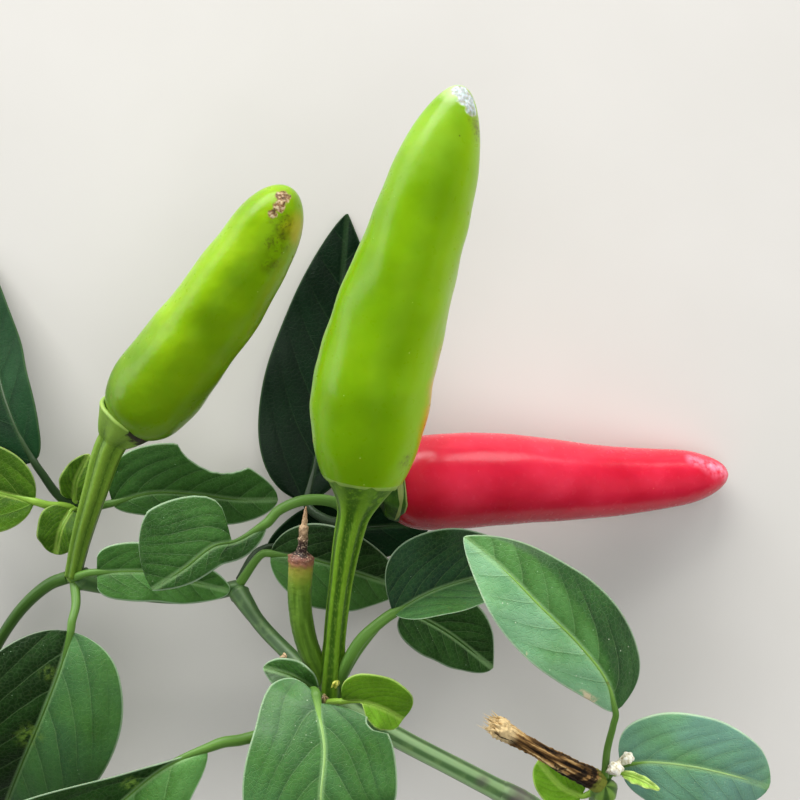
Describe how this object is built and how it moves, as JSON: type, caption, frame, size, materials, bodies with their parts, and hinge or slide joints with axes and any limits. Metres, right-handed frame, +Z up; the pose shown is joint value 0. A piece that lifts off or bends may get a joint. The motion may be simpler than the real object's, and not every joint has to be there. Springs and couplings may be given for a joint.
{
  "type": "chilli pepper sprig",
  "caption": "Cut leafy sprig of an upright chilli pepper plant, with forked green stems, smooth tapering fruits on flared stalks, and folded pointed leaves.",
  "frame": {"origin": "on the surface the sprig lies on, under the middle of its bounding box", "axes": "+Z upwards from the surface, +Y towards the blossom end of the middle fruit, +X towards the blossom end of the red fruit"},
  "size_m": [0.1624, 0.1646, 0.0604],
  "materials": {
    "fruit_green": "smooth waxy yellow-green fruit skin",
    "fruit_red": "smooth waxy red fruit skin",
    "stem": "ribbed pale green stem",
    "stalk": "ridged yellow-green fruit stalk and calyx",
    "leaf": "satin mid green blade with a pale midrib and margin",
    "leaf_young": "satin lime green young blade",
    "leaf_shaded": "satin deep green blade",
    "dead_wood": "dry splintered straw-brown wood",
    "bud": "dry off-white withered flower bud"
  },
  "bodies": {
    "root": {"back_stem": "stem", "bare_stalk": "stalk", "bud_lower": "bud", "bud_upper": "bud", "dead_twig": "dead_wood", "fruit_left_green": "fruit_green", "fruit_middle_green": "fruit_green", "fruit_right_red": "fruit_red", "leaf_back_left": "leaf", "leaf_folded": "leaf", "leaf_front": "leaf", "leaf_front_bright": "leaf_young", "leaf_front_small": "leaf", "leaf_left_bright": "leaf_young", "leaf_left_edge": "leaf", "leaf_left_hanging": "leaf", "leaf_left_low": "leaf", "leaf_left_round": "leaf", "leaf_low_left": "leaf", "leaf_middle_right": "leaf", "leaf_right_cup": "leaf_young", "leaf_right_side": "leaf", "leaf_right_sprout": "leaf_young", "leaf_right_upper": "leaf", "leaf_shade": "leaf_shaded", "leaf_shoot_round": "leaf", "leaf_shoot_upright": "leaf", "leaf_tall": "leaf_shaded", "leaf_under_middle": "leaf", "leaf_under_right": "leaf", "left_shoot": "stem", "left_stem": "stem", "main_stem": "stem", "middle_stem": "stem", "right_stem": "stem", "stalk_left": "stalk", "stalk_middle": "stalk", "stalk_right": "stalk", "upper_stem": "stem"}
  },
  "joints": []
}
